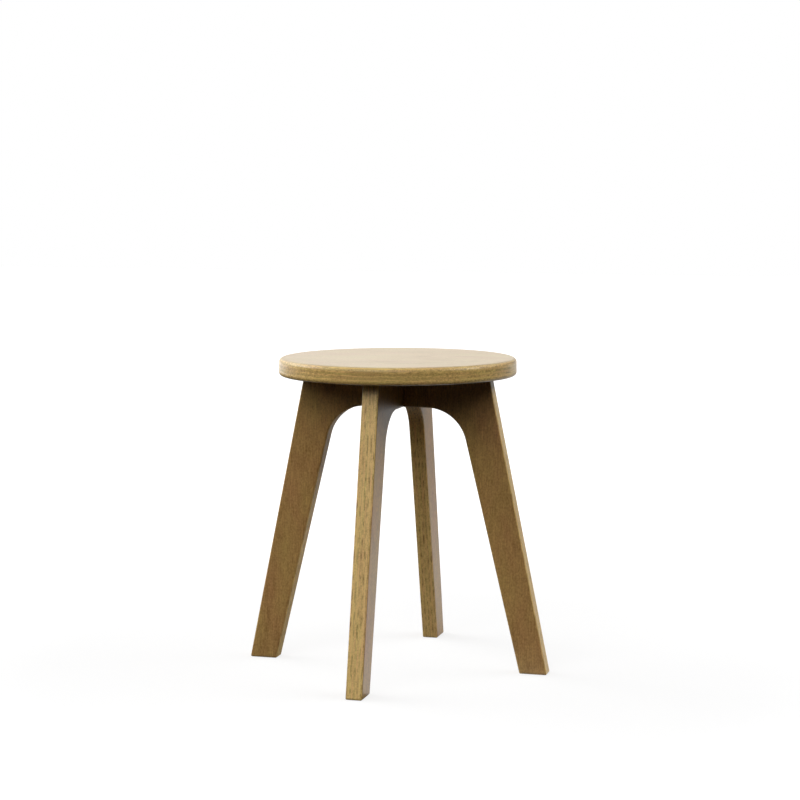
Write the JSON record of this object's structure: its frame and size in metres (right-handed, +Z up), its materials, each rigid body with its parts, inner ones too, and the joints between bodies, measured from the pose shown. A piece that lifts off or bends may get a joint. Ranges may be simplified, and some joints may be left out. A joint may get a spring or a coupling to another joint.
{
  "type": "stool",
  "caption": "Round-seated plywood stool on arched leg frames halved into each other at right angles, with splayed tapering legs and a rounded rim.",
  "frame": {"origin": "on the floor, midway between the feet, under the middle of the seat", "axes": "+Z up through the middle of the seat; +X towards the right leg and -Y towards the front leg, each along one of the crossing leg frames"},
  "size_m": [0.4578, 0.4578, 0.461],
  "materials": {
    "seat_plywood": "pale plywood with a matt clear coat, its layers showing round the rim",
    "frame_plywood": "plywood with a matt clear coat, figured on its faces and layered on its edges",
    "dowel_wood": "bare hardwood with pressed grooves",
    "screw_steel": "zinc plated",
    "plug_wood": "sanded flush, matt clear coat"
  },
  "bodies": {
    "root": {"seat": "seat_plywood", "left_right_leg_frame": "frame_plywood", "front_back_leg_frame": "frame_plywood", "seat_dowels": "dowel_wood", "seat_screws": "screw_steel", "screw_hole_plugs": "plug_wood"}
  },
  "joints": []
}
